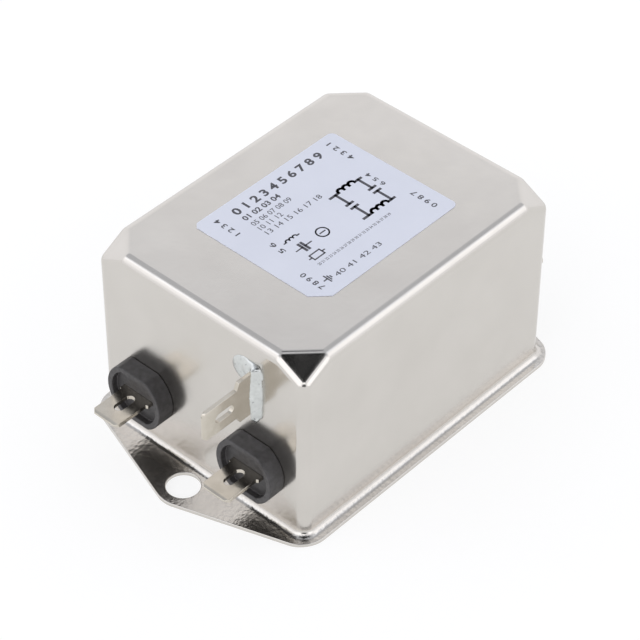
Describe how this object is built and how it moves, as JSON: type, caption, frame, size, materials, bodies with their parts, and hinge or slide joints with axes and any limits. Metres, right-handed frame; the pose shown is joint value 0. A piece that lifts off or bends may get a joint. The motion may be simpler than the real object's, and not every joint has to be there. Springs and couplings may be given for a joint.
{
  "type": "emi line filter",
  "caption": "Mains line filter in a drawn steel can with mounting ears, blade terminals in moulded collars and a soldered earth tab, complete with its coils and capacitors.",
  "frame": {"origin": "midway between the centres of the two mounting holes, on the mounting face", "axes": "+X from the line end to the load end, +Z away from the mounting face"},
  "size_m": [0.0887, 0.054, 0.0405],
  "materials": {
    "can": "satin tinned",
    "base": "satin tinned",
    "liner": "matte",
    "board": "matte",
    "collar": "fine matte",
    "blade": "bright tinned",
    "earth": "bright tinned",
    "solder": "smooth",
    "label": "satin film",
    "core": "coated",
    "wire": "enamelled",
    "divider": "matte",
    "holder": "matte",
    "x_capacitor": "gloss",
    "y_capacitor": "gloss",
    "resistor": "gloss",
    "lead": "satin"
  },
  "bodies": {
    "root": {"case": "can", "base_plate": "base", "insulating_sheet": "liner", "circuit_board": "board", "collar_line_p": "collar", "collar_line_n": "collar", "collar_load_p": "collar", "collar_load_n": "collar", "blade_line_p": "blade", "blade_line_n": "blade", "blade_load_p": "blade", "blade_load_n": "blade", "earth_tab": "earth", "earth_solder": "solder", "label": "label", "choke_line_core": "core", "choke_line_winding_p": "wire", "choke_line_winding_n": "wire", "choke_line_divider": "divider", "choke_line_holder": "holder", "choke_load_core": "core", "choke_load_winding_p": "wire", "choke_load_winding_n": "wire", "choke_load_divider": "divider", "choke_load_holder": "holder", "x_capacitor_line": "x_capacitor", "x_capacitor_middle": "x_capacitor", "x_capacitor_load": "x_capacitor", "y_capacitor_p": "y_capacitor", "y_capacitor_n": "y_capacitor", "bleed_resistor": "resistor", "earth_lead": "lead"}
  },
  "joints": []
}
